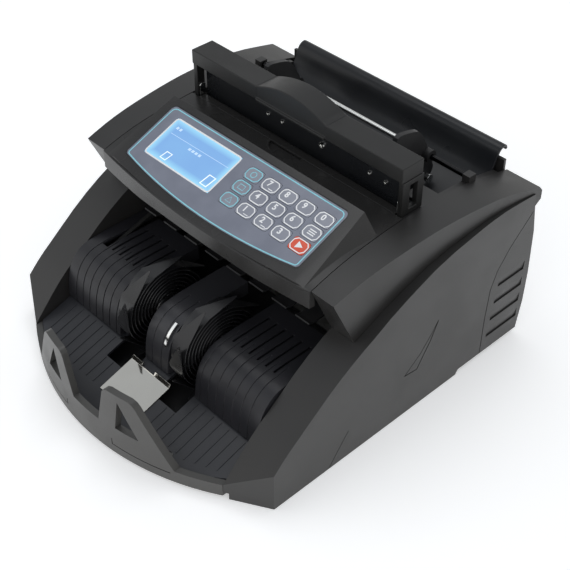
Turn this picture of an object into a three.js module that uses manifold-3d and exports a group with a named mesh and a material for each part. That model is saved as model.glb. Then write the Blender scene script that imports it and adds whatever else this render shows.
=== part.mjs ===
// Desktop banknote counting machine: notes are fed from the hopper at the back, counted, and laid down by two
// finned impellers into the open stacker pocket at the front.
// Millimetres, +X to the right of someone using the machine, +Y to the back, +Z up.
// The origin is on the table, under the middle of the machine. Most parts are prisms along X, drawn as
// [y, z] outlines, because the machine keeps one side profile over its whole width.
import * as THREE from 'three';
import { mergeVertices } from 'three/addons/utils/BufferGeometryUtils.js';
import { ConvexGeometry } from 'three/addons/geometries/ConvexGeometry.js';
import Module from 'manifold-3d';

const wasm = await Module();
wasm.setup();

// ---------------------------------------------------------------- driving dimensions
const GAP = 0.3;                 // air left between neighbouring pieces
const WALL = 2.5;                // thickness of the plastic mouldings
const HALF_WIDTH = 140.5;        // outer face of the side shells
const SEAM_X = 109.5;            // seam between the side covers and the middle of the machine
const BASE_BOTTOM = 3;
const BASE_TOP = 6;
const FOOT_HEIGHT = 3;
const BASE_FRONT = -138;         // the sloping stacker floor reaches down in front of this
const BACK_Y = 152;

const RIM_RADIUS = 206;          // plan radius of the bowed front rim
const RIM_FRONT_Y = -155;
const RIM_CENTRE_Y = RIM_FRONT_Y + RIM_RADIUS;
const RIM_THICKNESS = 5;
const RIM_TOP = 14;
const STOP_TOP = 65;             // top of the two note stops
const CORNER_Y = -123.3;         // where the rim meets a side shell
const CHAMFER_Y = -105;          // front of a side shell's outer face
const SHELL_BOTTOM = 0.5;        // lower edge of a side shell, in front of its step
const SHELL_STEP = { front: 81, rear: 83.5, bottom: 4.5 };   // where that edge rises towards the back

const FLOOR_REAR = [-91.5, 23.4];
const FLOOR_SLOPE = 0.308;       // rise per millimetre towards the back
const POCKET_FRONT_Y = -107;
const POCKET_X = [14.5, 40.5];   // slot in the floor that each impeller turns in

const WHEEL_AXIS = [-62, 50];    // impeller shaft, as [y, z]
const WHEEL_RADIUS = 43;
const WHEEL_X = [22.3, 38];
const BLADES = 9;
const BLADE_CURL_RADIUS = 36;    // where a blade stops curling and runs on straight to its tip
const BLADE_SWEEP = 5.2;         // radians that a blade curls round the hub
const BLADE_THICKNESS = 1.1;
const WHEEL_HUB_RADIUS = 11;

const PANEL_ORIGIN = [0, -36.9, 143.2];   // front of the keypad, on the sloping panel face
const PANEL_SLOPE = Math.atan2(19.1, 48);
const MEMBRANE_HALF = 90.5;
const MEMBRANE_REAR = 52;
const MEMBRANE_BOW = 9;          // how far its front edge bulges
const MEMBRANE_THICKNESS = 0.9;
const LCD = { x: [-78.5, -8.1], s: [8.5, 44.1] };
const KEY_COLUMNS = [10.1, 27.3, 44.6, 61.6, 79.4];
const KEY_ROWS = [38, 25.6, 13.2];
const KEY_SIZE = [14.4, 10.4];
const KEY_TRAVEL = 0.5;

const BAR = { y: [42.3, 62.8], z: [178.4, 190], halfLength: 107 };
const GRIP = { half: 35, rise: 8, lip: 1.5, lipHeight: 2.4 };   // arched middle, with a lip below
const POST = { x: [102.8, 107.2], y: [43.4, 63.8], slotY: [50.5, 58], top: 178.1, slotTop: 174 };
const DECK_TOP = 151.5;
const FLAP = { y: [42.8, 50.2], halfWidth: 101.5, thickness: 2.5 };
const FRONT_PLATE_Y = 51;

const GUIDE_X = 68;              // hopper side guides, set for a wide note
const GUIDE_THICKNESS = 4;
const ROD = { y: 113, z: 150, radius: 2, halfLength: 107 };
const KNOB_AXIS = [114.5, 129.5];

const FEED_AXIS = [84, 97.5];
const FEED_ROLLER_RADIUS = 17;
const FEED_PULLEY_RADIUS = 11;       // driven by the motor, on the right
const MOTOR_AXIS = [112, 42];
const MOTOR_RADIUS = 24;
const MOTOR_PULLEY_RADIUS = 7;
const TAKE_OFF_RADIUS = 6;           // on the feed shaft, driving the impellers, on the left
const WHEEL_PULLEY_RADIUS = 9;
const BELT_X = [92.5, 96.5];
const BELT_THICKNESS = 1.2;
const SHAFT_RADIUS = 4;
const RUNNING_CLEARANCE = 0.08;
const CHASSIS_X = [99.5, 101];       // right-hand cheek of the sheet-steel chassis
const CHASSIS_FLOOR = [6.3, 7.8];

// ---------------------------------------------------------------- side profiles, as [y, z]
// Upper face of a side shell: low at the rim, rising to run under the hood.
const SLOPE_POINTS = [[CORNER_Y, 14], [-108, 31], [-94, 45], [-82, 54.5], [-72, 62.5], [-51, 78.5],
  [-30, 91.5], [-15, 99], [10, 112], [48, 126.5], [77, 132], [99, 135.2], [121, 136.2], [150, 134]];
// Upper face of the hood, from the front lip to the rear nose.
const HOOD_POINTS = [[-43, 138.5], [-25, 143.5], [-5, 147.3], [20, 150], [42, 151.5], [60, 151.8], [80, 151],
  [110, 148.3], [133, 143.3], [155, 137.6]];
// Front and top of the ribbed note guides and of the shroud between the impellers.
const GUIDE_POINTS = [[-91, 26], [-90.5, 34], [-89, 44], [-85.5, 54], [-80, 61], [-73, 65.5], [-64, 67.2],
  [-52, 68]];
// Rolled sheet of the hopper, from its rear lip down to the feed rollers.
const TRAY_POINTS = [[160.6, 150.5], [159.6, 153.6], [156.5, 155], [152.5, 153.6], [149.5, 149.5],
  [146.5, 142], [142, 135], [135, 129.5], [126, 125.5], [114, 122], [98, 117.6], [68, 110]];
// Lines engraved in a side shell's outer face.
const SHELL_MARKS = [
  { width: 1, points: [[52.9, 73.8], [46.3, 58.8], [33.7, 38.6], [20.9, 40.4]] },
  { width: 0.7, points: [[20.9, 40.4], [36, 52], [46, 64], [52.9, 73.8]] },
  { width: 0.8, points: [[150.6, 118.6], [128.5, 97.6], [116.6, 82], [111, 67], [109, 40], [108.5, 4.8]] },
  { width: 0.6, points: [[-34.9, 26], [-53.4, 0.8]] },
];

// ---------------------------------------------------------------- shape helpers
function solidOf(geometry) {
  const bare = geometry.clone();
  bare.deleteAttribute('normal');
  bare.deleteAttribute('uv');
  const merged = mergeVertices(bare, 1e-4);
  return new wasm.Manifold(new wasm.Mesh({
    numProp: 3,
    vertProperties: new Float32Array(merged.attributes.position.array),
    triVerts: new Uint32Array(merged.index.array),
  }));
}

function shapeOf(outline) {
  return new THREE.Shape(outline.map(([a, b]) => new THREE.Vector2(a, b)));
}

function extrude(outline, depth) {
  return new THREE.ExtrudeGeometry(shapeOf(outline), { depth, bevelEnabled: false, curveSegments: 12 });
}

// Solid with a [y, z] outline between two X positions.
function prismAlongX(outline, xFrom, xTo) {
  const turn = new THREE.Matrix4().makeBasis(
    new THREE.Vector3(0, 1, 0), new THREE.Vector3(0, 0, 1), new THREE.Vector3(1, 0, 0));
  return solidOf(extrude(outline, xTo - xFrom).applyMatrix4(turn).translate(xFrom, 0, 0));
}

// Solid with an [x, z] outline between two Y positions.
function prismAlongY(outline, yFrom, yTo) {
  const turn = new THREE.Matrix4().makeBasis(
    new THREE.Vector3(1, 0, 0), new THREE.Vector3(0, 0, 1), new THREE.Vector3(0, -1, 0));
  return solidOf(extrude(outline, yTo - yFrom).applyMatrix4(turn).translate(0, yTo, 0));
}

// Solid with an [x, y] outline between two heights.
function prismAlongZ(outline, zFrom, zTo) {
  return solidOf(extrude(outline, zTo - zFrom).translate(0, 0, zFrom));
}

function box([x0, x1], [y0, y1], [z0, z1]) {
  const geometry = new THREE.BoxGeometry(x1 - x0, y1 - y0, z1 - z0);
  return solidOf(geometry.translate((x0 + x1) / 2, (y0 + y1) / 2, (z0 + z1) / 2));
}

// Round bar along X about the [y, z] axis.
function barAlongX([y, z], radius, xFrom, xTo, segments = 32) {
  const geometry = new THREE.CylinderGeometry(radius, radius, xTo - xFrom, segments);
  return solidOf(geometry.rotateZ(Math.PI / 2).translate((xFrom + xTo) / 2, y, z));
}

function smooth(points, count) {
  const curve = new THREE.SplineCurve(points.map(([a, b]) => new THREE.Vector2(a, b)));
  return curve.getPoints(count).map((p) => [p.x, p.y]);
}

// The same line moved sideways by a distance, to the left of its direction of travel when positive.
function offsetLine(points, distance) {
  return points.map(([a, b], i) => {
    const [a0, b0] = points[Math.max(i - 1, 0)];
    const [a1, b1] = points[Math.min(i + 1, points.length - 1)];
    const length = Math.hypot(a1 - a0, b1 - b0);
    return [a - distance * (b1 - b0) / length, b + distance * (a1 - a0) / length];
  });
}

function sheet(points, thickness) {
  return [...points, ...offsetLine(points, thickness).reverse()];
}

function shift(points, dy, dz) {
  return points.map(([a, b]) => [a + dy, b + dz]);
}

function mirrored(solid) {
  return solid.mirror([1, 0, 0]);
}

function roundedRectangle(width, height, radius, steps = 4) {
  const outline = [];
  const corners = [[1, 1, 0], [-1, 1, 1], [-1, -1, 2], [1, -1, 3]];
  for (const [sx, sy, quarter] of corners) {
    for (let i = 0; i <= steps; i += 1) {
      const angle = (quarter + i / steps) * Math.PI / 2;
      outline.push([sx * (width / 2 - radius) + radius * Math.cos(angle),
        sy * (height / 2 - radius) + radius * Math.sin(angle)]);
    }
  }
  return outline;
}

function moved(outline, dx, dy) {
  return outline.map(([a, b]) => [a + dx, b + dy]);
}

function rimY(x, radius = RIM_RADIUS) {
  return RIM_CENTRE_Y - Math.sqrt(radius * radius - x * x);
}

// ---------------------------------------------------------------- lower body
function basePan() {
  const edge = HALF_WIDTH - WALL - GAP;
  const outline = [[-edge, BACK_Y - 3], [-edge, CHAMFER_Y + 5]];
  const frontX = 104;
  const steps = 14;
  for (let i = 0; i <= steps; i += 1) {
    const x = -frontX + 2 * frontX * i / steps;
    outline.push([x, Math.max(rimY(x, RIM_RADIUS - RIM_THICKNESS - GAP) + 1, BASE_FRONT)]);
  }
  outline.push([edge, CHAMFER_Y + 5], [edge, BACK_Y - 3]);
  let pan = prismAlongZ(outline, BASE_BOTTOM, BASE_TOP);
  for (let i = 0; i < 5; i += 1) {
    const y = 60 + 12 * i;
    pan = pan.subtract(box([-40, 40], [y, y + 4], [BASE_BOTTOM - 1, BASE_TOP + 1]));
  }
  return pan;
}

function foot(x, y) {
  const profile = [[0, 0], [8.5, 0], [10, FOOT_HEIGHT - GAP], [0, FOOT_HEIGHT - GAP]];
  const points = profile.map(([r, z]) => new THREE.Vector2(r, z));
  return solidOf(new THREE.LatheGeometry(points, 20).rotateX(Math.PI / 2).translate(x, y, 0));
}

function sideShell() {
  const slope = smooth(SLOPE_POINTS, 22);
  const rear = [[BACK_Y, 121], [155.5, 98], [157, 58], [156, 30], [BACK_Y, SHELL_STEP.bottom],
    [SHELL_STEP.rear, SHELL_STEP.bottom], [SHELL_STEP.front, SHELL_BOTTOM]];
  const outline = [[CORNER_Y, SHELL_BOTTOM], ...slope, ...rear];
  const hollowTop = smooth(shift(SLOPE_POINTS, 0, -WALL * 1.25), 16).filter(([y]) => y < 146);
  const hollow = [[CORNER_Y + 3, -1], ...hollowTop, [148, 118], [151.5, 96], [153, 58], [152, 30], [149, -1]];
  let shell = prismAlongX(outline, SEAM_X + 0.1, HALF_WIDTH);
  shell = shell.subtract(prismAlongX(hollow, SEAM_X + WALL, HALF_WIDTH - WALL).subtract(cornerCut(WALL)));
  shell = shell.subtract(cornerCut(0));
  shell = shell.subtract(box([SEAM_X - 1, SEAM_X + WALL + 1], [CORNER_Y, BACK_Y - 2], [0, BASE_TOP + GAP]));
  for (let i = 0; i < 4; i += 1) {
    shell = shell.subtract(louvre(18 + 15.7 * i, 114 + 2 * i));
  }
  for (const mark of SHELL_MARKS) {
    shell = shell.subtract(shellMark(mark));
  }
  return shell;
}

// Shallow groove along a line on a shell's outer face.
function shellMark({ width, points }) {
  const depth = 0.6;
  const outline = sheet(offsetLine(points, width / 2), -width);
  return prismAlongX(outline, HALF_WIDTH - depth, HALF_WIDTH + 1);
}

// Shallow scallop in a shell's outer face, deepest along its lower edge.
function louvre(bottom, front) {
  const depth = 1.2;
  const height = 8.5;
  const wedge = [[HALF_WIDTH + 1, bottom], [HALF_WIDTH - depth, bottom], [HALF_WIDTH, bottom + height],
    [HALF_WIDTH + 1, bottom + height]];
  return prismAlongY(wedge, front, 150);
}

// Wedge that takes the front corner off a side shell, or leaves a wall of the given thickness behind it.
function cornerCut(thickness) {
  const reach = 40;
  const slant = (CHAMFER_Y - CORNER_Y) / (HALF_WIDTH - SEAM_X);
  const drop = thickness * Math.hypot(1, slant);
  const outline = [
    [SEAM_X - reach, CORNER_Y - slant * reach + drop],
    [HALF_WIDTH + reach, CHAMFER_Y + slant * reach + drop],
    [HALF_WIDTH + reach, CORNER_Y - reach],
    [SEAM_X - reach, CORNER_Y - reach],
  ];
  return prismAlongZ(outline, -20, 200);
}

function frontRim() {
  const outer = [];
  const inner = [];
  const steps = 36;
  const reach = SEAM_X - 0.2;
  for (let i = 0; i <= steps; i += 1) {
    const x = -reach + 2 * reach * i / steps;
    outer.push([x, rimY(x)]);
    inner.push([x, rimY(x, RIM_RADIUS - RIM_THICKNESS)]);
  }
  const ring = prismAlongZ([...outer, ...inner.reverse()], BASE_BOTTOM, STOP_TOP + 1);
  let rim = ring.intersect(prismAlongY(rimElevation(), RIM_FRONT_Y - 5, CORNER_Y + 20));
  for (const side of [-1, 1]) {
    rim = rim.subtract(stopWindow(side)).subtract(rimGroove(side));
  }
  return rim;
}

// Parting line under a note stop: a groove along the rim that turns up at its inner end.
function rimGroove(side) {
  const depth = 0.7;
  const width = 0.8;
  const [near, far] = [26, 75];
  const height = 10.4;
  const steps = 10;
  const front = [];
  const back = [];
  for (let i = 0; i <= steps; i += 1) {
    const x = side * (near + (far - near) * i / steps);
    front.push([x, rimY(x) - 1]);
    back.push([x, rimY(x) + depth]);
  }
  const line = prismAlongZ([...front, ...back.reverse()], height, height + width);
  const upright = [[near, height], [near + width, height], [near + width, height + 6], [near, height + 6]];
  const notch = prismAlongY(upright.map(([x, z]) => [side * x, z]), rimY(near) - 1, rimY(near) + depth);
  return line.add(notch);
}

// Front view of the rim: a low wall with two tapering note stops that have softened tops.
function rimElevation() {
  const low = SEAM_X - 0.2;
  const half = [[low, BASE_BOTTOM], [low, RIM_TOP], [78, RIM_TOP], [52, 60.5], [49.6, 63.4], [46, STOP_TOP],
    [28, STOP_TOP], [24.5, 63.6], [22.6, 60.5], [14.6, 28]];
  return [...half, ...half.map(([x, z]) => [-x, z]).reverse()];
}

function stopWindow(side) {
  const triangle = [[31.4 * side, 30], [52 * side, 30], [36.5 * side, 58.5]];
  return prismAlongY(triangle, RIM_FRONT_Y - 5, CORNER_Y + 20);
}

function floorHeight(y) {
  return FLOOR_REAR[1] + (y - FLOOR_REAR[0]) * FLOOR_SLOPE;
}

function stackerFloor() {
  const front = RIM_FRONT_Y + 4;
  const rear = -84.3;
  const thickness = 2.4;
  const slab = [[front, floorHeight(front)], [rear, floorHeight(rear)], [rear, floorHeight(rear) - thickness],
    [front, floorHeight(front) - thickness]];
  const plan = [[-108.9, rear], [108.9, rear]];
  const steps = 30;
  for (let i = 0; i <= steps; i += 1) {
    const x = 108.9 - 217.8 * i / steps;
    plan.push([x, rimY(x, RIM_RADIUS - RIM_THICKNESS - GAP)]);
  }
  let floor = prismAlongX(slab, -108.9, 108.9).intersect(prismAlongZ(plan, 0, 60));
  for (const x of [POCKET_X[0], -POCKET_X[1]]) {
    const width = POCKET_X[1] - POCKET_X[0];
    floor = floor.subtract(box([x, x + width], [POCKET_FRONT_Y, -60], [0, 60]));
  }
  const ribPitch = 8.3;
  for (let i = 0; i < 9; i += 1) {
    const x = 31.4 + ribPitch * i;
    const front = -127.5 + Math.max(0, i - 5) * 3;
    for (const side of [-1, 1]) {
      const rearOfRib = x < POCKET_X[1] ? POCKET_FRONT_Y - 1 : FLOOR_REAR[0] - 1;
      floor = floor.add(floorRib(side * x, rearOfRib, front));
    }
  }
  return floor;
}

function floorRib(x, rear, front) {
  const rise = 0.5;
  const outline = [[front, floorHeight(front) - 1], [rear, floorHeight(rear) - 1],
    [rear, floorHeight(rear) + rise], [front, floorHeight(front) + rise]];
  return prismAlongX(outline, x - 0.5, x + 0.5);
}

function wearPlate() {
  const lift = 0.15;
  const rear = -97;
  const front = -128;
  const outline = [[front, floorHeight(front) + lift], [rear, floorHeight(rear) + lift],
    [rear + 2, floorHeight(rear) + 3.2], [rear + 1.2, floorHeight(rear) + 3.6],
    [rear - 0.8, floorHeight(rear) + lift + 0.9], [front, floorHeight(front) + lift + 0.8]];
  return prismAlongX(outline, -21.5, 21.5).subtract(box([-10, 4], [rear - 0.5, rear + 4], [0, 60]));
}

// Thin moulding that follows the guide profile, with a cheek at each end round the impeller shaft.
function guideShell(xFrom, xTo, grooves) {
  const rearY = -12;
  const outer = [...smooth(GUIDE_POINTS, 12), [rearY, 68]];
  const inner = [[-88.4, 20], ...smooth(GUIDE_POINTS, 10).map(([y, z]) => [y + 2.6, z - 2.2]).slice(1),
    [rearY + 5, 65.6], [rearY + 5, 20]];
  const cheek = 1.8;
  const wheelWell = [[-84, 20], [-84, 42], [-72, 56.5], [rearY + 5, 56.5], [rearY + 5, 20]];
  let shell = prismAlongX([...outer, [rearY, 25.9]], xFrom, xTo)
    .subtract(prismAlongX(inner, xFrom + cheek, xTo - cheek))
    .subtract(prismAlongX(wheelWell, xFrom - 1, xTo + 1));
  for (const x of grooves) {
    shell = shell.subtract(guideGroove(x));
  }
  return shell;
}

// Fine groove down the front of a guide, starting on its top.
function guideGroove(x) {
  const width = 0.7;
  const depth = 0.6;
  const line = [[-91, 24], ...smooth(GUIDE_POINTS, 10)];
  return prismAlongX(sheet(offsetLine(line, depth), -2 * depth), x - width / 2, x + width / 2);
}

function guideCover() {
  const xFrom = 43.2;
  const xTo = 108.6;
  const pitch = 8.36;
  const slots = Array.from({ length: 6 }, (unused, i) => 52.3 + pitch * i);
  let cover = guideShell(xFrom, xTo, [...slots, slots[5] + pitch].map((x) => x - pitch / 2));
  for (const x of slots) {
    cover = cover.subtract(box([x - 0.9, x + 0.9], [-61.6, -27], [60, 72]));
  }
  return cover;
}

// The last slot of the left cover is wider at the back, where the impeller belt comes up through it.
function beltSlot() {
  return box([BELT_X[0] - 1, BELT_X[1] + 1], [-62, -11], [60, 72]);
}

// ---------------------------------------------------------------- hood and control panel
function hoodOuterX(y) {
  return 130 + (y + 41.5) * 9.7 / 196.5;
}

function hoodSide() {
  const top = smooth(HOOD_POINTS, 18);
  const nose = [[158.3, 133.4], [158.3, 126], [152.6, 121.3], [150.6, 134.2]];
  const underside = smooth(shift(SLOPE_POINTS, 0, GAP), 22).filter(([y]) => y > -22 && y < 148);
  const outline = [...top, ...nose, ...underside.reverse(), [-23.5, 95.8], [-41.5, 135]];
  const plan = [[SEAM_X + 0.3, -44], [hoodOuterX(-43), -44], [hoodOuterX(-43), -43], [hoodOuterX(160), 160],
    [SEAM_X + 0.3, 160]];
  const roof = smooth(shift(HOOD_POINTS, 0, -WALL), 12).filter(([y]) => y > -33 && y < 128);
  const hollow = [[-36.5, 134], ...roof, [128, 100], [-16, 80]];
  const hollowPlan = [[SEAM_X + 0.3 + WALL, -44], [hoodOuterX(-43) - WALL, -44], [hoodOuterX(160) - WALL, 160],
    [SEAM_X + 0.3 + WALL, 160]];
  let cover = prismAlongX(outline, SEAM_X, HALF_WIDTH + 1).intersect(prismAlongZ(plan, 60, 200));
  cover = cover.subtract(prismAlongX(hollow, SEAM_X, HALF_WIDTH).intersect(prismAlongZ(hollowPlan, 60, 200)));
  return cover.add(hopperLedge()).add(rodBoss())
    .subtract(barAlongX([ROD.y, ROD.z], ROD.radius + 0.05, 100, ROD.halfLength + GAP));
}

// Ledge beside the hopper, just under the hood's upper face, with a lug towards the guides.
function hopperLedge() {
  const plan = [[SEAM_X + 1.5, 42.8], [SEAM_X + 1.5, 146], [104.6, 146], [104.6, 84], [89, 84], [89, 66],
    [102, 66], [102, 42.8]];
  const line = [[42.8, 150.4], [60, 150.4], [84, 149], [110, 147], [133, 142], [146, 139]];
  return prismAlongX(sheet(line, -2.8), 80, SEAM_X + 5).intersect(prismAlongZ(plan, 100, 200));
}

// Block that holds the end of the guide rod.
function rodBoss() {
  return box([104.6, SEAM_X + 1.5], [ROD.y - 3.6, ROD.y + 3.6], [ROD.z - 8, ROD.z + 3.2]);
}

function panelPlaneZ(y) {
  return PANEL_ORIGIN[2] + (y - PANEL_ORIGIN[1]) * Math.tan(PANEL_SLOPE);
}

function lipY(x) {
  const share = x / SEAM_X;
  return -52.6 + 8.6 * share * share;
}

function panelHousing() {
  const half = SEAM_X - 0.3;
  const steps = 16;
  const plan = [[half, 42.4], [-half, 42.4]];
  for (let i = 0; i <= steps; i += 1) {
    const x = -half + 2 * half * i / steps;
    plan.push([x, lipY(x)]);
  }
  const deckTop = smooth(HOOD_POINTS, 18).filter(([y]) => y > -40 && y < 40);
  const outer = [[-54, 137.4], [-43, 138.5], ...deckTop, [42.4, DECK_TOP], [42.4, DECK_TOP - 3],
    ...shift(deckTop, 0, -3).reverse(), [-40, 134], [-39, 123.5], [-50, 124.5], [-54, 128]];
  const deck = prismAlongX(outer, -half, half).intersect(prismAlongZ(plan, 100, 200));
  return deck.add(podSolid(0)).subtract(podHollow()).subtract(membraneRecess()).subtract(fingerRecess());
}

// Half-round dip in the deck that lets a fingertip get under the clean-out flap.
function fingerRecess() {
  const outline = [];
  const steps = 10;
  for (let i = 0; i <= steps; i += 1) {
    const angle = Math.PI * (1 + i / steps);
    outline.push([-3.5 + 16.5 * Math.cos(angle), 42.5 + 9.5 * Math.sin(angle)]);
  }
  return prismAlongZ(outline, DECK_TOP - 2.2, DECK_TOP + 5);
}

// The raised wedge under the keypad; an inset makes the smaller wedge used to hollow it.
function podSolid(inset) {
  const points = [];
  const steps = 12;
  const frontHalf = 95 - inset;
  for (let i = 0; i <= steps; i += 1) {
    const x = -frontHalf + 2 * frontHalf * i / steps;
    const y = lipY(x) + 1.5 + inset * 1.6;
    points.push([x, y, panelPlaneZ(y) - inset]);
    points.push([x, y, 132.5]);
  }
  for (const side of [-1, 1]) {
    points.push([side * (98 - inset), 16.8 - inset, panelPlaneZ(16.8) - inset * 1.6]);
    points.push([side * (108.8 - inset), 14 - inset, 148.2]);
    points.push([side * (108.8 - inset), 19 - inset, 148.2]);
    points.push([side * (103.5 - inset), -44 + inset, 138.2]);
  }
  const cloud = points.map(([x, y, z]) => new THREE.Vector3(x, y, z));
  return solidOf(new ConvexGeometry(cloud));
}

// Space inside the wedge, open downwards through the deck.
function podHollow() {
  const half = 92;
  const roof = 4.2;
  const outline = [[-34, 120], [-34, panelPlaneZ(-34) - roof], [12, panelPlaneZ(12) - roof], [12, 120]];
  return prismAlongX(outline, -half, half);
}

function onPanel(solid) {
  const turn = new THREE.Matrix4().makeRotationX(PANEL_SLOPE).setPosition(...PANEL_ORIGIN);
  return solid.transform(turn.elements);
}

function membraneOutline(inset) {
  const half = MEMBRANE_HALF - inset;
  const outline = [[half - 4, MEMBRANE_REAR - inset], [-half + 4, MEMBRANE_REAR - inset],
    [-half + 1.2, MEMBRANE_REAR - inset - 1.2], [-half, MEMBRANE_REAR - inset - 4], [-half, 2]];
  const steps = 14;
  for (let i = 0; i <= steps; i += 1) {
    const x = -half + 1.5 + (2 * half - 3) * i / steps;
    const share = x / half;
    outline.push([x, -MEMBRANE_BOW * (1 - share * share) + inset]);
  }
  outline.push([half, 2], [half, MEMBRANE_REAR - inset - 4], [half - 1.2, MEMBRANE_REAR - inset - 1.2]);
  return outline;
}

function membraneRecess() {
  return onPanel(prismAlongZ(membraneOutline(-GAP), -1.6, 20));
}

function membrane() {
  let sheetSolid = prismAlongZ(membraneOutline(0), -MEMBRANE_THICKNESS, 0);
  const window = box([LCD.x[0] - GAP, LCD.x[1] + GAP], [LCD.s[0] - GAP, LCD.s[1] + GAP], [-5, 5]);
  sheetSolid = sheetSolid.subtract(window);
  for (const x of KEY_COLUMNS) {
    for (const s of KEY_ROWS) {
      const hole = roundedRectangle(KEY_SIZE[0] + 2 * GAP, KEY_SIZE[1] + 2 * GAP, 2.2, 2);
      sheetSolid = sheetSolid.subtract(prismAlongZ(moved(hole, x, s), -5, 5));
    }
  }
  return onPanel(sheetSolid);
}

function lcdWindow() {
  return onPanel(box(LCD.x, LCD.s, [-1.4, -0.1]));
}

function keyPad(x, s) {
  const pad = roundedRectangle(KEY_SIZE[0], KEY_SIZE[1], 2, 3);
  const bottom = -1.6 + KEY_TRAVEL + 0.1;
  return onPanel(prismAlongZ(moved(pad, x, s), bottom, 0.3));
}

// ---------------------------------------------------------------- carrying bar and hopper
function handleBar() {
  const outline = [[-BAR.halfLength, BAR.z[0]], [BAR.halfLength, BAR.z[0]], [BAR.halfLength, BAR.z[1]]];
  const steps = 16;
  for (let i = 0; i <= steps; i += 1) {
    const share = 1 - 2 * i / steps;
    outline.push([GRIP.half * share, BAR.z[1] + GRIP.rise * (1 - share * share)]);
  }
  outline.push([-BAR.halfLength, BAR.z[1]]);
  const lipY = [BAR.y[0] - GRIP.lip, BAR.y[0] + 1];
  const lip = box([-GRIP.half, GRIP.half], lipY, [BAR.z[0], BAR.z[0] + GRIP.lipHeight]);
  return prismAlongY(outline, BAR.y[0], BAR.y[1]).add(lip);
}

function handlePost() {
  const foot = 150.7;
  const post = box(POST.x, POST.y, [foot, POST.top]);
  return post.subtract(box([POST.x[0] - 1, POST.x[1] + 1], POST.slotY, [foot + 4, POST.slotTop]));
}

function cleanOutFlap() {
  const hinge = barAlongX([FLAP.y[1] - 1.4, DECK_TOP - 1.4], 1.4, -FLAP.halfWidth, FLAP.halfWidth, 16);
  const leafY = [FLAP.y[0], FLAP.y[1] - 1.4];
  return box([-FLAP.halfWidth, FLAP.halfWidth], leafY, [DECK_TOP - 2.4, DECK_TOP - 0.1]).add(hinge);
}

function hopperFrontPlate() {
  const line = [[FRONT_PLATE_Y, 178.1], [FRONT_PLATE_Y, 150], [66, 115.5]];
  return prismAlongX(sheet(line, 2.2), -101.5, 101.5);
}

function rearTray() {
  const outline = sheet(smooth(TRAY_POINTS, 34), 2);
  let tray = prismAlongX(outline, -104, 104);
  for (const x of [-46, 16]) {
    tray = tray.subtract(box([x, x + 30], [FEED_AXIS[0] - 13.4, FEED_AXIS[0] + 14.6], [100, 125]));
  }
  return tray;
}

function guideOutline() {
  const points = [[78, 172], [80.5, 177.5], [86, 178.3], [98.6, 175.3], [105, 171.3], [112.8, 158],
    [120.3, 140], [122, 134.5], [119, 129], [112, 127.4]];
  return smooth(points, 18);
}

function hopperGuide() {
  const outline = [...guideOutline(), [76, 117.6], [72, 120], [74, 150]];
  let guide = prismAlongX(outline, GUIDE_X - GUIDE_THICKNESS, GUIDE_X);
  const axis = [ROD.y, ROD.z];
  guide = guide.add(barAlongX(axis, 5, GUIDE_X - GUIDE_THICKNESS, GUIDE_X + 5, 24))
    .subtract(barAlongX(axis, ROD.radius + RUNNING_CLEARANCE, GUIDE_X - 10, GUIDE_X + 10, 32));
  return guide.subtract(barAlongX(KNOB_AXIS, 1.6, GUIDE_X - 1.5, GUIDE_X + 1, 20));
}

function guideKnob() {
  const head = barAlongX(KNOB_AXIS, 3.4, GUIDE_X + GAP, GUIDE_X + 4.5, 24);
  return head.add(barAlongX(KNOB_AXIS, 1.5, GUIDE_X - 1.2, GUIDE_X + 1, 20))
    .subtract(box([GUIDE_X + 3.6, GUIDE_X + 5], [KNOB_AXIS[0] - 0.4, KNOB_AXIS[0] + 0.4],
      [KNOB_AXIS[1] - 5, KNOB_AXIS[1] + 5]));
}

// ---------------------------------------------------------------- back of the machine
const INLET = { x: [-96, -68], z: [16, 37] };
const SWITCH = { x: [-58, -39], z: [20, 33] };
const SWITCH_PIVOT = [148.4, (SWITCH.z[0] + SWITCH.z[1]) / 2];
const ROCKER_TILT = 7 * Math.PI / 180;
const SOCKET = { x: [62, 78], z: [18, 31] };

function rearPanel() {
  let panel = box([-SEAM_X + 0.3, SEAM_X - 0.3], [151, 153.5], [BASE_TOP + GAP, 147]);
  const [pivotY, pivotZ] = SWITCH_PIVOT;
  panel = panel.add(box(SWITCH.x, [pivotY - 5, 154.6], SWITCH.z))
    .subtract(box([SWITCH.x[0] + 2, SWITCH.x[1] - 2], [pivotY - 3.4, 170], [pivotZ - 6.3, pivotZ + 6.3]));
  for (const hole of [INLET, SOCKET]) {
    const [x, z] = [hole.x, hole.z].map(([low, high]) => [low - GAP, high + GAP]);
    panel = panel.subtract(box(x, [140, 160], z));
  }
  for (let i = 0; i < 7; i += 1) {
    const z = 62 + 9 * i;
    panel = panel.subtract(box([-52, 52], [140, 160], [z, z + 3]));
  }
  return panel;
}

function mainsInlet() {
  const within = ([low, high], inset) => [low + inset, high - inset];
  const flange = box(INLET.x, [148, 155.5], INLET.z);
  const body = box(within(INLET.x, 1.5), [134, 149], within(INLET.z, 1.5));
  const cavity = box(within(INLET.x, 3), [139, 160], within(INLET.z, 3));
  let inlet = flange.add(body).subtract(cavity);
  const middle = (INLET.x[0] + INLET.x[1]) / 2;
  for (const [dx, dz] of [[-7, -2], [0, 3], [7, -2]]) {
    const x = middle + dx;
    const z = (INLET.z[0] + INLET.z[1]) / 2 + dz;
    inlet = inlet.add(box([x - 1, x + 1], [138, 148], [z - 2, z + 2]));
  }
  return inlet;
}

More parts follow.
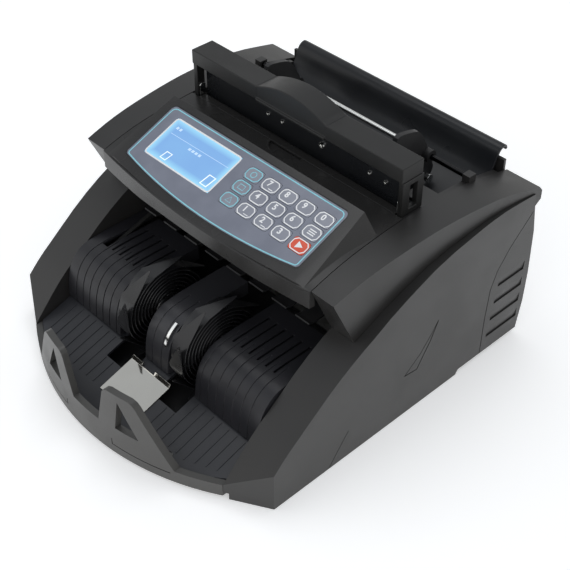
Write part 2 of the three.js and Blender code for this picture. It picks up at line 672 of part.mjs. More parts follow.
// Drawn in its off position: tipped about its pivot so that the top edge stands out.
function powerRocker() {
  const shallowV = [[-2, -5], [7, -5], [5.9, 0], [7, 5], [-2, 5]];
  const cos = Math.cos(ROCKER_TILT);
  const sin = Math.sin(ROCKER_TILT);
  const [pivotY, pivotZ] = SWITCH_PIVOT;
  const outline = shallowV.map(([y, z]) => [pivotY + y * cos + z * sin, pivotZ - y * sin + z * cos]);
  return prismAlongX(outline, SWITCH.x[0] + 2.6, SWITCH.x[1] - 2.6);
}

function displaySocket() {
  const mouthX = [SOCKET.x[0] + 2, SOCKET.x[1] - 2];
  const mouthZ = [SOCKET.z[0] + 2.2, SOCKET.z[1] - 2.6];
  return box(SOCKET.x, [143, 155], SOCKET.z).subtract(box(mouthX, [145, 160], mouthZ));
}

// ---------------------------------------------------------------- running gear
// Folded sheet: two cheeks that carry the shafts, joined by a floor under the motor and the transformer.
function chassis() {
  const outline = [[-79, 9], [-79, 53], [-71, 60], [-14, 60], [-6, 90], [20, 106], [140, 106],
    [140, CHASSIS_FLOOR[0]], [40, CHASSIS_FLOOR[0]], [40, 9]];
  const bore = SHAFT_RADIUS + RUNNING_CLEARANCE;
  let cheek = prismAlongX(outline, CHASSIS_X[0], CHASSIS_X[1]);
  for (const axis of [WHEEL_AXIS, FEED_AXIS]) {
    cheek = cheek.subtract(barAlongX(axis, bore, CHASSIS_X[0] - 1, CHASSIS_X[1] + 1, 48));
  }
  cheek = cheek.subtract(box([CHASSIS_X[0] - 1, CHASSIS_X[1] + 1], [-20, 60], [25, 80]));
  return cheek.add(mirrored(cheek)).add(box([-CHASSIS_X[1], CHASSIS_X[1]], [40, 140], CHASSIS_FLOOR));
}

function impellerShaft() {
  const pulley = flangedPulley(WHEEL_AXIS, WHEEL_PULLEY_RADIUS, -1);
  return barAlongX(WHEEL_AXIS, SHAFT_RADIUS, -104, 104).add(pulley);
}

// Belt pulley with a flange on its inner side, on the right of the machine, or on the left when side is -1.
function flangedPulley(axis, radius, side) {
  const [inner, outer] = BELT_X;
  const pulley = barAlongX(axis, radius, inner, outer, 30)
    .add(barAlongX(axis, radius + 2, inner - 1.2, inner - 0.1, 30))
    .add(barAlongX(axis, SHAFT_RADIUS + 1.5, inner - 2, outer + 1, 24));
  return side > 0 ? pulley : mirrored(pulley);
}

// Flexible finger that curls outwards from the hub and ends in a straight tip, which trails.
function bladeOutline(startAngle) {
  const line = [];
  const steps = 16;
  const root = WHEEL_HUB_RADIUS - 1;
  const [axisY, axisZ] = WHEEL_AXIS;
  const onWheel = (radius, angle) => [axisY + radius * Math.cos(angle), axisZ + radius * Math.sin(angle)];
  for (let i = 0; i <= steps; i += 1) {
    const share = i / steps;
    line.push(onWheel(root + (BLADE_CURL_RADIUS - root) * share, startAngle - BLADE_SWEEP * share));
  }
  const tipTurn = Math.acos(BLADE_CURL_RADIUS / WHEEL_RADIUS);
  line.push(onWheel(WHEEL_RADIUS - BLADE_THICKNESS, startAngle - BLADE_SWEEP - tipTurn));
  return sheet(line, BLADE_THICKNESS);
}

function impeller() {
  const inset = 1;
  let wheel = barAlongX(WHEEL_AXIS, WHEEL_HUB_RADIUS, WHEEL_X[0] + inset, WHEEL_X[1] - inset, 30);
  for (let i = 0; i < BLADES; i += 1) {
    wheel = wheel.add(prismAlongX(bladeOutline(2 * Math.PI * i / BLADES), WHEEL_X[0], WHEEL_X[1]));
  }
  return wheel.subtract(barAlongX(WHEEL_AXIS, SHAFT_RADIUS + GAP, WHEEL_X[0] - 1, WHEEL_X[1] + 1));
}

function feedShaft() {
  return barAlongX(FEED_AXIS, SHAFT_RADIUS, -104, 104)
    .add(flangedPulley(FEED_AXIS, FEED_PULLEY_RADIUS, 1))
    .add(flangedPulley(FEED_AXIS, TAKE_OFF_RADIUS, -1));
}

function feedRoller() {
  let roller = barAlongX(FEED_AXIS, 7.5, -46, 46, 24);
  for (const x of [-44, 18]) {
    roller = roller.add(barAlongX(FEED_AXIS, FEED_ROLLER_RADIUS, x, x + 26, 40));
  }
  return roller.subtract(barAlongX(FEED_AXIS, SHAFT_RADIUS + GAP, -50, 50));
}

function mainMotor() {
  const can = barAlongX(MOTOR_AXIS, MOTOR_RADIUS, 24, 88, 32).add(barAlongX(MOTOR_AXIS, 9, 87, 90, 24));
  const bracketY = [MOTOR_AXIS[0] - 22, MOTOR_AXIS[0] + 22];
  const bracket = box([82, 85], bracketY, [CHASSIS_FLOOR[1] + GAP, MOTOR_AXIS[1]]);
  return can.add(bracket).subtract(barAlongX(MOTOR_AXIS, 3 + RUNNING_CLEARANCE, 80, 95, 48));
}

function motorPulley() {
  return barAlongX(MOTOR_AXIS, MOTOR_PULLEY_RADIUS, BELT_X[0], BELT_X[1], 24)
    .add(barAlongX(MOTOR_AXIS, MOTOR_PULLEY_RADIUS + 2, BELT_X[1] + 0.2, BELT_X[1] + 1.4, 24))
    .add(barAlongX(MOTOR_AXIS, 3, 82, BELT_X[1] + 1.2, 24));
}

// Closed loop of straight runs tangent to two pulleys, each given as an axis and a radius.
function beltLoop(axisA, radiusA, axisB, radiusB) {
  const dy = axisB[0] - axisA[0];
  const dz = axisB[1] - axisA[1];
  const heading = Math.atan2(dz, dy);
  const lean = Math.acos((radiusA - radiusB) / Math.hypot(dy, dz));
  const arc = ([y, z], radius, from, to) => {
    const steps = 10;
    return Array.from({ length: steps + 1 }, (unused, i) => {
      const angle = from + (to - from) * i / steps;
      return [y + radius * Math.cos(angle), z + radius * Math.sin(angle)];
    });
  };
  return [...arc(axisA, radiusA, heading + lean, heading + 2 * Math.PI - lean),
    ...arc(axisB, radiusB, heading - lean, heading + lean)];
}

function driveBelt(axisA, radiusA, axisB, radiusB) {
  const outerLoop = beltLoop(axisA, radiusA + GAP + BELT_THICKNESS, axisB, radiusB + GAP + BELT_THICKNESS);
  const innerLoop = beltLoop(axisA, radiusA + GAP, axisB, radiusB + GAP);
  return prismAlongX(outerLoop, BELT_X[0] + 0.4, BELT_X[1] - 0.4)
    .subtract(prismAlongX(innerLoop, BELT_X[0] - 1, BELT_X[1] + 1));
}

// Sloping plates that lead each counted note from the feed roller down to the impellers.
function exitGuide() {
  const line = [[60, 96], [48, 92], [16, 89.5], [-20, 85], [-25, 86.4]];
  let guide = prismAlongX(sheet(line, 1.6), -90.5, 90.5);
  for (let i = 0; i < 7; i += 1) {
    const x = -76.5 + 24 * i;
    guide = guide.subtract(box([x, x + 9], [-30, -6], [70, 100]));
  }
  return guide;
}

function transformer() {
  const core = box([-88, -32], [66, 114], [CHASSIS_FLOOR[1] + GAP, 50]);
  return core.add(box([-80, -40], [60, 120], [14, 42]));
}

// ---------------------------------------------------------------- materials and assembly
const MATERIALS = {
  satin_black: { color: 0x26262a, roughness: 0.5, metalness: 0 },
  gloss_black: { color: 0x1b1b1f, roughness: 0.25, metalness: 0 },
  membrane_grey: { color: 0x73788a, roughness: 0.4, metalness: 0 },
  key_grey: { color: 0x7b8093, roughness: 0.4, metalness: 0 },
  key_red: { color: 0xd9482f, roughness: 0.4, metalness: 0 },
  lcd_blue: { color: 0x85b3e8, roughness: 0.15, metalness: 0 },
  polished_steel: { color: 0xd8d6cf, roughness: 0.08, metalness: 1 },
  plated_steel: { color: 0xa9abad, roughness: 0.35, metalness: 1 },
  rubber_black: { color: 0x1c1c1c, roughness: 0.9, metalness: 0 },
  rubber_grey: { color: 0x55524c, roughness: 0.85, metalness: 0 },
  motor_grey: { color: 0x8d8f90, roughness: 0.4, metalness: 1 },
  core_brown: { color: 0x4a3f38, roughness: 0.6, metalness: 0.3 },
};

const slots = {};
for (const [name, values] of Object.entries(MATERIALS)) {
  slots[name] = new THREE.MeshStandardMaterial(values);
  slots[name].name = name;
}

const machine = new THREE.Group();
machine.name = 'banknote_counter';

// Outlines above are measured from the side shells; this puts the origin under the middle of the whole depth.
const MIDDLE_Y = (RIM_FRONT_Y + TRAY_POINTS[0][0]) / 2;

function place(name, slot, solid) {
  const mesh = solid.getMesh();
  const geometry = new THREE.BufferGeometry();
  geometry.setAttribute('position', new THREE.BufferAttribute(new Float32Array(mesh.vertProperties), 3));
  geometry.setIndex(new THREE.BufferAttribute(new Uint32Array(mesh.triVerts), 1));
  geometry.translate(0, -MIDDLE_Y, 0);
  geometry.computeVertexNormals();
  const node = new THREE.Mesh(geometry, slots[slot]);
  node.name = name;
  machine.add(node);
}

function placePair(name, slot, rightSolid) {
  place(`${name}_right`, slot, rightSolid);
  place(`${name}_left`, slot, mirrored(rightSolid));
}

place('base_pan', 'satin_black', basePan());
placePair('foot_front', 'rubber_black', foot(112, -84));
placePair('foot_rear', 'rubber_black', foot(112, 128));
placePair('side_shell', 'satin_black', sideShell());
placePair('hood_side', 'satin_black', hoodSide());
place('front_rim', 'satin_black', frontRim());
place('stacker_floor', 'satin_black', stackerFloor());
place('wear_plate', 'polished_steel', wearPlate());
place('guide_cover_right', 'gloss_black', guideCover());
place('guide_cover_left', 'gloss_black', mirrored(guideCover().subtract(beltSlot())));
place('impeller_shroud', 'gloss_black', guideShell(-13, 13, [-5, 5]));
place('panel_housing', 'gloss_black', panelHousing());
place('keypad_membrane', 'membrane_grey', membrane());
place('lcd_window', 'lcd_blue', lcdWindow());

const KEY_NAMES = [['key_function_a', 'key_7', 'key_8', 'key_9', 'key_0'],
  ['key_function_b', 'key_4', 'key_5', 'key_6', 'key_batch'],
  ['key_function_c', 'key_1', 'key_2', 'key_3', 'key_start']];
KEY_NAMES.forEach((row, rowIndex) => row.forEach((name, column) => {
  place(name, name === 'key_start' ? 'key_red' : 'key_grey', keyPad(KEY_COLUMNS[column], KEY_ROWS[rowIndex]));
}));

place('clean_out_flap', 'satin_black', cleanOutFlap());
place('handle_bar', 'satin_black', handleBar());
placePair('handle_post', 'satin_black', handlePost());
place('hopper_front_plate', 'satin_black', hopperFrontPlate());
place('rear_tray', 'satin_black', rearTray());
place('guide_rod', 'polished_steel', barAlongX([ROD.y, ROD.z], ROD.radius, -ROD.halfLength, ROD.halfLength));
placePair('hopper_guide', 'satin_black', hopperGuide());
placePair('guide_knob', 'polished_steel', guideKnob());
place('rear_panel', 'satin_black', rearPanel());
place('mains_inlet', 'rubber_black', mainsInlet());
place('power_rocker', 'gloss_black', powerRocker());
place('display_socket', 'rubber_black', displaySocket());
place('chassis', 'plated_steel', chassis());
place('impeller_shaft', 'plated_steel', impellerShaft());
placePair('impeller', 'gloss_black', impeller());
place('feed_shaft', 'plated_steel', feedShaft());
place('feed_roller', 'rubber_grey', feedRoller());
place('main_motor', 'motor_grey', mainMotor());
place('motor_pulley', 'plated_steel', motorPulley());
place('motor_belt', 'rubber_black',
  driveBelt(MOTOR_AXIS, MOTOR_PULLEY_RADIUS, FEED_AXIS, FEED_PULLEY_RADIUS));
place('impeller_belt', 'rubber_black',
  mirrored(driveBelt(WHEEL_AXIS, WHEEL_PULLEY_RADIUS, FEED_AXIS, TAKE_OFF_RADIUS)));
place('exit_guide', 'satin_black', exitGuide());
place('transformer', 'core_brown', transformer());

export default machine;
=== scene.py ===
"""Looks of the banknote counting machine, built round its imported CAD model.

Positions are written in the drawing's own millimetres: X to the right, Y to the back, Z up from the table.
drawing() turns them into the model's metres.
"""

import math

import bmesh
import bpy
from mathutils import Matrix, Vector


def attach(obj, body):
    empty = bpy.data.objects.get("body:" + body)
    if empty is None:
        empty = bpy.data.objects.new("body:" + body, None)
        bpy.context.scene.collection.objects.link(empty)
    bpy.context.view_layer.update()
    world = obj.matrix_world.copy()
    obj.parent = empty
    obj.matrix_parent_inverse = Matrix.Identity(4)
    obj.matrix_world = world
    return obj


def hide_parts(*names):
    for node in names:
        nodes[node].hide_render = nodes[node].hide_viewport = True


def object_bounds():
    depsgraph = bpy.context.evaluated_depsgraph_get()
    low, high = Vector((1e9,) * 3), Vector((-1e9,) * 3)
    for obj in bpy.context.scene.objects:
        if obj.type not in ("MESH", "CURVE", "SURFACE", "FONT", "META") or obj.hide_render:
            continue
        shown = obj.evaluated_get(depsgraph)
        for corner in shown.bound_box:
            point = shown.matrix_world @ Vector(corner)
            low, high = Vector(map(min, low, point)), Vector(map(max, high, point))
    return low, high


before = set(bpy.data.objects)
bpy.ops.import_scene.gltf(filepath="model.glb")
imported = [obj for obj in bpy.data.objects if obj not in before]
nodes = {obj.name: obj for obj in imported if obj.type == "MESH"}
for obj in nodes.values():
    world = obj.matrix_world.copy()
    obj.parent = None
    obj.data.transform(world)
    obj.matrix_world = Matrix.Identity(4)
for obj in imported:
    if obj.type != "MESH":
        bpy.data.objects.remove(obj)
cad_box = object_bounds()

# ---------------------------------------------------------------- driving dimensions, in drawing millimetres
MM = 0.001
MIDDLE_Y = 2.8                    # drawing Y of the model's origin
PANEL_ORIGIN = (0.0, -36.9, 143.2)
PANEL_SLOPE = math.atan2(19.1, 48.0)
WHEEL_AXIS = (-62.0, 50.0)
WHEEL_RADIUS = 42.8
WHEEL_X = (22.5, 37.8)
HUB_RADIUS = 11.0
CURL_RADIUS = 34.0                # where a blade stops curling and runs on straight to its tip
BLADES = 9
BLADE_SWEEP = 5.2                 # radians that a blade winds round the hub
BLADE_ROOT_THICKNESS = 0.95
BLADE_TAPER = 0.35                # how much thinner a blade is at its tip
TIP_CUT = 0.9                     # share of the blade's width that the slant cut takes off
BORE_RADIUS = 4.6
BOSS_RADII = (7.5, 8.2)           # at its outer end and where it meets the hub
FLOOR_REAR = (-91.5, 23.4)        # Y and Z where the stacker floor is highest
FLOOR_SLOPE = 0.308
FRONT_PLATE_Y = 51.0
DECK_TOP = 151.5
REAR_PANEL_Y = 153.5
BAR = {"y": (42.3, 62.8), "z": (178.4, 190.0), "grip_half": 35.4}
GUIDE_X = 68.0
LCD = {"x": (-78.5, -8.1), "s": (8.5, 44.1)}
KEY_COLUMNS = (10.1, 27.3, 44.6, 61.6, 79.4)
KEY_ROWS = (38.0, 25.6, 13.2)
KEYS = (
    ("key_function_a", "key_7", "key_8", "key_9", "key_0"),
    ("key_function_b", "key_4", "key_5", "key_6", "key_batch"),
    ("key_function_c", "key_1", "key_2", "key_3", "key_start"),
)
KEY_TOP = 0.3
MARK = KEY_TOP + 0.07             # height of the print on a key
INK_DEPTH = 0.12
GLYPH_HALF_DEPTH = 0.06
KEY_PRINT_HALF = (6.45, 4.5)      # printed outline, small enough to stay on the key when it is pressed
KEY_PRINT_CLIP = 2.2
KEY_PRINT_BOW = 0.15
DIGIT_SIZE = 6.4
UNDERLINED_KEYS = ("7", "1", "2")
MEMBRANE = {"half": 88.6, "rear": 49.9, "front": 1.2, "rear_corner": 4.0, "front_corner": 2.5, "bow": 8.4}
# Tilt and turn are in degrees; the camera looks down by the angle taken from 90.
CAMERA = {"eye": (515.68, -449.0, 640.61), "tilt": 90 - 40.862, "turn": 46.669, "lens": 75.46}
STUDIO_HALF_WIDTH = 4.0           # metres


def drawing(x, y, z):
    return Vector((x, y - MIDDLE_Y, z)) * MM


def panel_matrix():
    """From panel coordinates in metres (across, up the slope, out of the panel) to the model's frame."""
    return Matrix.Translation(drawing(*PANEL_ORIGIN)) @ Matrix.Rotation(PANEL_SLOPE, 4, "X")


# ---------------------------------------------------------------- node material helpers
class Nodes:
    """Adds shader nodes to one material and links them as it goes."""

    def __init__(self, name):
        self.material = bpy.data.materials.new(name)
        self.material.use_nodes = True
        self.tree = self.material.node_tree
        self.shader = self.tree.nodes["Principled BSDF"]
        self.coordinates = self.add("ShaderNodeTexCoord").outputs["Object"]

    def add(self, kind, inputs=None, **properties):
        node = self.tree.nodes.new(kind)
        for key, value in properties.items():
            setattr(node, key, value)
        for key, value in (inputs or {}).items():
            if isinstance(value, bpy.types.NodeSocket):
                self.tree.links.new(value, node.inputs[key])
            else:
                node.inputs[key].default_value = value
        return node

    def set(self, **inputs):
        for key, value in inputs.items():
            socket = self.shader.inputs[key.replace("_", " ")]
            if isinstance(value, bpy.types.NodeSocket):
                self.tree.links.new(value, socket)
            else:
                socket.default_value = value

    def noise(self, scale, detail=2.0, roughness=0.5, stretch=(1, 1, 1)):
        mapped = self.add("ShaderNodeMapping", {"Vector": self.coordinates, "Scale": stretch})
        texture = self.add(
            "ShaderNodeTexNoise",
            {"Vector": mapped.outputs["Vector"], "Scale": scale, "Detail": detail, "Roughness": roughness},
        )
        return texture.outputs["Fac"]

    def spread(self, value, low, high, span=(0.35, 0.65)):
        mapped = self.add(
            "ShaderNodeMapRange",
            {"Value": value, "From Min": span[0], "From Max": span[1], "To Min": low, "To Max": high},
        )
        return mapped.outputs["Result"]

    def blend(self, value, first, second):
        mixed = self.add("ShaderNodeMix", {"Factor": value}, data_type="RGBA")
        mixed.inputs["A"].default_value = (*first, 1)
        mixed.inputs["B"].default_value = (*second, 1)
        return mixed.outputs["Result"]

    def bump(self, height, distance, strength=1.0, below=None):
        inputs = {"Height": height, "Distance": distance, "Strength": strength}
        if below is not None:
            inputs["Normal"] = below
        return self.add("ShaderNodeBump", inputs).outputs["Normal"]


def moulded(name, dark, light, rough, grain_scale, grain_depth, specular=0.5):
    """Injection-moulded plastic: an even spark-eroded grain over a faint, slow unevenness."""
    n = Nodes(name)
    slow = n.noise(38, detail=3)
    fine = n.noise(grain_scale, detail=1.5)
    n.set(Base_Color=n.blend(slow, dark, light), Roughness=n.spread(slow, rough[0], rough[1]))
    n.set(Specular_IOR_Level=specular)
    waviness = n.bump(n.noise(24, detail=1), 0.00025, 0.35)
    n.set(Normal=n.bump(fine, grain_depth, 0.8, below=waviness))
    return n.material


def polished(name, dark, light, rough, waviness, specular=0.5):
    """Smooth glossy plastic with the slight flow waves of a moulding and a little fine dust."""
    n = Nodes(name)
    n.set(Specular_IOR_Level=specular)
    slow = n.noise(30, detail=2)
    dust = n.spread(n.noise(2600, detail=0.5), 0.0, 1.0, span=(0.70, 0.78))
    n.set(Base_Color=n.blend(slow, dark, light))
    base = n.spread(slow, rough[0], rough[1])
    dusty = n.spread(dust, 0.0, 0.25, (0, 1))
    roughness = n.add("ShaderNodeMath", {0: base, 1: dusty}, operation="ADD")
    n.set(Roughness=roughness.outputs[0], Normal=n.bump(slow, waviness, 0.5))
    return n.material


def metal(name, dark, light, rough, scratch_stretch, scratch_depth):
    """Metal with fine lines along one direction."""
    n = Nodes(name)
    lines = n.noise(900, detail=3, stretch=scratch_stretch)
    slow = n.noise(60, detail=2)
    n.set(Base_Color=n.blend(slow, dark, light), Metallic=1.0, Roughness=n.spread(lines, rough[0], rough[1]))
    n.set(Normal=n.bump(lines, scratch_depth, 0.5))
    return n.material


def two_tone_rod():
    """Ground steel rod, bright between the guides and blackened towards its ends."""
    n = Nodes("two_tone_rod")
    across = n.add("ShaderNodeSeparateXYZ", {"Vector": n.coordinates}).outputs["X"]
    distance = n.add("ShaderNodeMath", {0: across}, operation="ABSOLUTE").outputs[0]
    blackened = n.spread(distance, 0.0, 1.0, span=((GUIDE_X + 4) * MM, (GUIDE_X + 5) * MM))
    lines = n.noise(900, detail=3, stretch=(1, 12, 12))
    n.set(Base_Color=n.blend(blackened, (0.82, 0.82, 0.80), (0.02, 0.02, 0.021)), Metallic=1.0)
    n.set(Roughness=n.spread(lines, 0.14, 0.24), Normal=n.bump(lines, 0.000003, 0.5))
    return n.material


def glowing(name, colour, edge, strength):
    """Lit display marks."""
    n = Nodes(name)
    tone = n.blend(n.spread(n.noise(900, detail=2), 0.0, 1.0), colour, edge)
    n.set(Base_Color=(0.3, 0.3, 0.3, 1), Emission_Color=tone, Emission_Strength=strength)
    n.set(Roughness=n.spread(n.noise(1500, detail=1), 0.3, 0.4))
    return n.material


def printed(name, colour, edge):
    """Screen-printed ink, a little uneven in its density."""
    n = Nodes(name)
    n.set(Base_Color=n.blend(n.spread(n.noise(900, detail=2), 0.0, 1.0), colour, edge))
    n.set(Roughness=n.spread(n.noise(1500, detail=1), 0.38, 0.5), Normal=n.bump(n.noise(2500), 0.000004, 0.6))
    return n.material


def membrane_film(name, dark, light):
    """Printed polycarbonate film with a velvety fine texture."""
    n = Nodes(name)
    n.set(Base_Color=n.blend(n.spread(n.noise(55, detail=2), 0.0, 1.0), dark, light))
    n.set(Roughness=n.spread(n.noise(400, detail=2), 0.34, 0.44))
    n.set(Normal=n.bump(n.noise(4200, detail=1), 0.000012, 0.7), Coat_Weight=0.15)
    return n.material


def backlit_display():
    """Blue liquid-crystal display, brighter and more cyan where the edge lights are."""
    n = Nodes("lcd_backlight")
    origin = drawing(*PANEL_ORIGIN)
    to_panel = {"Vector": n.coordinates, "Location": origin, "Rotation": (PANEL_SLOPE, 0, 0)}
    local = n.add("ShaderNodeMapping", to_panel, vector_type="TEXTURE")
    split = n.add("ShaderNodeSeparateXYZ", {"Vector": local.outputs["Vector"]})

    def rim(axis, limits):
        low, high = (value * MM for value in limits)
        middle = (low + high) / 2
        offset = n.add("ShaderNodeMath", {0: split.outputs[axis], 1: middle}, operation="SUBTRACT")
        size = n.add("ShaderNodeMath", {0: offset.outputs[0]}, operation="ABSOLUTE")
        inward = n.add("ShaderNodeMath", {0: high - middle, 1: size.outputs[0]}, operation="SUBTRACT")
        return inward.outputs[0]

    nearest = n.add("ShaderNodeMath", {0: rim("X", LCD["x"]), 1: rim("Y", LCD["s"])}, operation="MINIMUM")
    glow = n.spread(nearest.outputs[0], 1.0, 0.0, span=(0.0005, 0.006))
    uneven = n.spread(n.noise(35, detail=2), 0.0, 0.12)
    factor = n.add("ShaderNodeMath", {0: glow, 1: uneven}, operation="ADD", use_clamp=True)
    colour = n.blend(factor.outputs[0], (0.215, 0.42, 0.78), (0.36, 0.74, 0.97))
    pixels = n.noise(5200, detail=0)
    n.set(Base_Color=(0.04, 0.08, 0.14, 1), Emission_Color=colour, Emission_Strength=0.9)
    n.set(Roughness=n.spread(pixels, 0.16, 0.24), Specular_IOR_Level=0.25)
    n.set(Normal=n.bump(pixels, 0.000003, 0.3))
    return n.material


materials = {
    "shell": moulded(
        "satin_shell", dark=(0.022, 0.021, 0.0205), light=(0.029, 0.028, 0.027), rough=(0.36, 0.44),
        grain_scale=2400, grain_depth=0.00007,
    ),
    "hood": moulded(
        "satin_hood", dark=(0.018, 0.0175, 0.017), light=(0.025, 0.024, 0.0235), rough=(0.34, 0.42),
        grain_scale=2400, grain_depth=0.00006,
    ),
    "floor": moulded(
        "satin_floor", dark=(0.022, 0.023, 0.027), light=(0.031, 0.032, 0.037), rough=(0.30, 0.40),
        grain_scale=2000, grain_depth=0.00004,
    ),
    # Rim colour lighter and warmer than the shell's: painted light, standing in for the light from the front
    # and from below on its front-facing band.
    "rim": moulded(
        "satin_rim_painted_light", dark=(0.052, 0.051, 0.048), light=(0.064, 0.062, 0.059), rough=(0.36, 0.46),
        grain_scale=2400, grain_depth=0.00006,
    ),
    "handle": moulded(
        "satin_handle", dark=(0.009, 0.009, 0.009), light=(0.015, 0.015, 0.0145), rough=(0.40, 0.5),
        grain_scale=1900, grain_depth=0.0001, specular=0.4,
    ),
    "inner": moulded(
        "dull_inner", dark=(0.008, 0.008, 0.009), light=(0.013, 0.013, 0.014), rough=(0.45, 0.6),
        grain_scale=1800, grain_depth=0.00008,
    ),
    "ribbed": polished(
        "semi_gloss_guide", dark=(0.016, 0.016, 0.019), light=(0.023, 0.023, 0.027),
        rough=(0.32, 0.42), waviness=0.0002, specular=0.4,
    ),
    "shroud": polished(
        "semi_gloss_shroud", dark=(0.030, 0.030, 0.034), light=(0.040, 0.040, 0.045),
        rough=(0.30, 0.40), waviness=0.0002, specular=0.5,
    ),
    "panel": polished(
        "gloss_panel", dark=(0.023, 0.0225, 0.022), light=(0.030, 0.029, 0.0285),
        rough=(0.22, 0.30), waviness=0.0002, specular=0.4,
    ),
    "tray": polished(
        "gloss_tray", dark=(0.010, 0.011, 0.013), light=(0.015, 0.016, 0.018), rough=(0.26, 0.36),
        waviness=0.0001, specular=0.35,
    ),
    "blade": polished(
        "flexible_blade", dark=(0.012, 0.012, 0.013), light=(0.020, 0.020, 0.022),
        rough=(0.24, 0.34), waviness=0.0004,
    ),
    "membrane": membrane_film(
        "membrane_grey_blue", dark=(0.180, 0.196, 0.250), light=(0.210, 0.227, 0.285),
    ),
    "key": membrane_film(
        "key_grey_blue", dark=(0.250, 0.264, 0.318), light=(0.282, 0.298, 0.355),
    ),
    "key_red": membrane_film(
        "key_red", dark=(0.66, 0.075, 0.032), light=(0.78, 0.10, 0.045),
    ),
    "ink_white": printed(
        "ink_white", colour=(0.95, 0.96, 0.97), edge=(0.88, 0.89, 0.91),
    ),
    "ink_cyan": printed(
        "ink_cyan", colour=(0.30, 0.70, 0.80), edge=(0.25, 0.62, 0.73),
    ),
    "ink_lcd": glowing(
        "lcd_pale_segments", colour=(0.90, 0.97, 1.0), edge=(0.80, 0.93, 1.0), strength=0.95,
    ),
    "ink_lcd_dim": glowing(
        "lcd_dim_segments", colour=(0.42, 0.64, 0.92), edge=(0.36, 0.58, 0.88), strength=0.9,
    ),
    "rod": two_tone_rod(),
    "label": printed(
        "label_film", colour=(0.42, 0.42, 0.41), edge=(0.38, 0.38, 0.37),
    ),
    "lcd": backlit_display(),
    "mirror": metal(
        "mirror_steel", dark=(0.80, 0.77, 0.70), light=(0.86, 0.83, 0.76), rough=(0.05, 0.09),
        scratch_stretch=(1, 14, 1), scratch_depth=0.000004,
    ),
    "chrome": metal(
        "bright_chrome", dark=(0.78, 0.78, 0.76), light=(0.88, 0.88, 0.86), rough=(0.07, 0.14),
        scratch_stretch=(12, 1, 1), scratch_depth=0.000003,
    ),
    "steel": metal(
        "plated_steel", dark=(0.42, 0.42, 0.41), light=(0.52, 0.52, 0.50), rough=(0.28, 0.42),
        scratch_stretch=(1, 10, 1), scratch_depth=0.00001,
    ),
    "rubber": moulded(
        "moulded_rubber", dark=(0.010, 0.010, 0.010), light=(0.016, 0.016, 0.015),
        rough=(0.7, 0.85), grain_scale=1500, grain_depth=0.0001, specular=0.3,
    ),
    "roller": moulded(
        "ground_rubber", dark=(0.07, 0.065, 0.06), light=(0.10, 0.09, 0.085), rough=(0.65, 0.8),
        grain_scale=1200, grain_depth=0.0001, specular=0.35,
    ),
    "core": moulded(
        "varnished_core", dark=(0.05, 0.035, 0.026), light=(0.085, 0.06, 0.045), rough=(0.4, 0.55),
        grain_scale=900, grain_depth=0.0001,
    ),
}


# ---------------------------------------------------------------- mesh helpers
def mesh_object(name, vertices, faces, material, body="machine", smooth=True):
    """New piece from drawing millimetres, riding on a body."""
    mesh = bpy.data.meshes.new(name)
    mesh.from_pydata([drawing(*v) for v in vertices], [], faces)
    return finish_piece(name, mesh, material, body, smooth)


def finish_piece(name, mesh, material, body="machine", smooth=True):
    bm = bmesh.new()
    bm.from_mesh(mesh)
    bmesh.ops.recalc_face_normals(bm, faces=bm.faces)
    bm.to_mesh(mesh)
    bm.free()
    mesh.materials.clear()
    mesh.materials.append(materials[material])
    piece = bpy.data.objects.new(name, mesh)
    bpy.context.scene.collection.objects.link(piece)
    if smooth:
        shade_smooth(piece)
    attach(piece, body)
    return piece


def shade_smooth(piece, angle=38):
    mesh = piece.data
    for attribute in [a for a in mesh.attributes if a.name == "custom_normal"]:
        mesh.attributes.remove(attribute)
    mesh.polygons.foreach_set("use_smooth", [True] * len(mesh.polygons))
    mesh.set_sharp_from_angle(angle=math.radians(angle))


def soften(piece, width, segments=2, angle=32):
    """Rounds the piece's edges the way a mould leaves them."""
    weld = piece.modifiers.new("weld", "WELD")
    weld.merge_threshold = 2e-6
    planar = piece.modifiers.new("planar", "DECIMATE")
    planar.decimate_type = "DISSOLVE"
    planar.angle_limit = math.radians(0.4)
    bevel = piece.modifiers.new("bevel", "BEVEL")
    bevel.width = width * MM
    bevel.segments = segments
    bevel.limit_method = "ANGLE"
    bevel.angle_limit = math.radians(angle)
    bevel.use_clamp_overlap = True
    bevel.harden_normals = False
    normals = piece.modifiers.new("normals", "WEIGHTED_NORMAL")
    normals.keep_sharp = True


def dress(name, material, bevel=0.0, angle=32, segments=2):
    """Gives a CAD node its material, smooth shading and, with a bevel in millimetres, softened edges."""
    node = nodes[name]
    node.data.materials.clear()
    node.data.materials.append(materials[material])
    shade_smooth(node)
    if bevel:
        soften(node, bevel, segments, angle)


def prism(outline, span, axis):
    """Vertices and faces of a prism; axis X takes (y, z) outlines, axis Y (x, z) and axis Z (x, y)."""
    place = {
        "X": lambda a, b, c: (c, a, b),
        "Y": lambda a, b, c: (a, c, b),
        "Z": lambda a, b, c: (a, b, c),
    }[axis]
    count = len(outline)
    vertices = [place(a, b, c) for c in span for a, b in outline]
    faces = [tuple(range(count)), tuple(range(2 * count - 1, count - 1, -1))]
    faces += [(i, (i + 1) % count, count + (i + 1) % count, count + i) for i in range(count)]
    return vertices, faces


def prism_piece(name, outline, span, axis, material, body="machine", bevel=0.0):
    piece = mesh_object(name, *prism(outline, span, axis), material, body)
    if bevel:
        soften(piece, bevel)
    return piece


def rounded_box_outline(low, high, radius, steps=4):
    (a0, b0), (a1, b1) = low, high
    outline = []
    corners = ((a1, b1, 0), (a0, b1, 1), (a0, b0, 2), (a1, b0, 3))
    for a, b, quarter in corners:
        centre = (a - radius if a == a1 else a + radius, b - radius if b == b1 else b + radius)
        for i in range(steps + 1):
            angle = (quarter + i / steps) * math.pi / 2
            outline.append((centre[0] + radius * math.cos(angle), centre[1] + radius * math.sin(angle)))
    return outline


